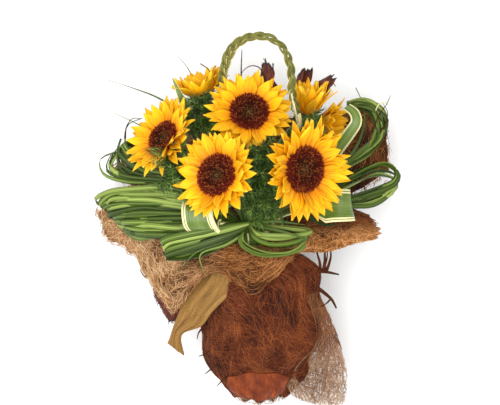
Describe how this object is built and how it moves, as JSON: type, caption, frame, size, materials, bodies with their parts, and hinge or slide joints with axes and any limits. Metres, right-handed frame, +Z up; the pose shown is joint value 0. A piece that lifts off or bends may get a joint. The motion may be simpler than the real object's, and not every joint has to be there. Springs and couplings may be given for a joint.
{
  "type": "bunch of sunflowers",
  "caption": "Hand-tied bunch of sunflowers with grass loops, variegated leaves and fern, a braided carrying arch and a palm fibre wrap, lying on its back.",
  "frame": {"origin": "middle of the box round the whole bunch, on the surface that it lies on", "axes": "+Y from the cut stems and the foot of the wrap towards the heads, +Z up, +X to the right as the heads are looked at from above"},
  "size_m": [0.471, 0.5662, 0.3446],
  "materials": {
    "petal_yellow": "satin petals, golden yellow with paler tips",
    "disc_brown": "rough seed disc, maroon brown with a dark centre",
    "calyx_green": "hairy green calyx and stem",
    "grass_green": "smooth grass blade with fine lengthwise veins",
    "leaf_green": "smooth variegated leaf with cream margins",
    "fern_green": "fine feathery green",
    "braid_green": "olive and straw coloured plaited grass",
    "collar_tan": "woven palm fibre, light tan",
    "tongue_tan": "palm fibre, orange tan",
    "wrap_brown": "coarse palm fibre, dark brown",
    "bark_tan": "dry bark sheath, tan",
    "rust_bark": "dry bark sheath, rust brown",
    "dried_red": "dried curled leaf, dark red brown",
    "mesh_buff": "open fibre mesh, buff",
    "twine": "dull jute twine"
  },
  "bodies": {
    "root": {"stem_tie": "twine", "fibre_wrap": "wrap_brown", "fibre_collar_front": "collar_tan", "fibre_tongue_right": "tongue_tan", "fibre_collar_back": "collar_tan", "dried_curl_left": "dried_red", "dried_curls_right": "dried_red", "handle_braid": "braid_green", "bark_tan": "bark_tan", "bark_rust": "rust_bark", "fibre_mesh_foot": "mesh_buff", "bloom_top_disc": "disc_brown", "bloom_top_petals": "petal_yellow", "bloom_top_stem": "calyx_green", "bloom_left_disc": "disc_brown", "bloom_left_petals": "petal_yellow", "bloom_left_stem": "calyx_green", "bloom_centre_disc": "disc_brown", "bloom_centre_petals": "petal_yellow", "bloom_centre_stem": "calyx_green", "bloom_right_disc": "disc_brown", "bloom_right_petals": "petal_yellow", "bloom_right_stem": "calyx_green", "bloom_back_left_disc": "disc_brown", "bloom_back_left_petals": "petal_yellow", "bloom_back_left_stem": "calyx_green", "bloom_back_right_disc": "disc_brown", "bloom_back_right_petals": "petal_yellow", "bloom_back_right_stem": "calyx_green", "bloom_far_right_disc": "disc_brown", "bloom_far_right_petals": "petal_yellow", "bloom_far_right_stem": "calyx_green", "leaf_roll_left": "leaf_green", "leaf_band_right": "leaf_green", "leaf_fold_right": "leaf_green", "leaf_back_left": "leaf_green", "grass_left_low": "grass_green", "grass_left_high": "grass_green", "grass_front": "grass_green", "grass_right_high": "grass_green", "grass_right_low": "grass_green", "grass_tips": "grass_green", "fern_left": "fern_green", "fern_middle": "fern_green", "fern_back_left": "fern_green", "fern_right": "fern_green"}
  },
  "joints": []
}
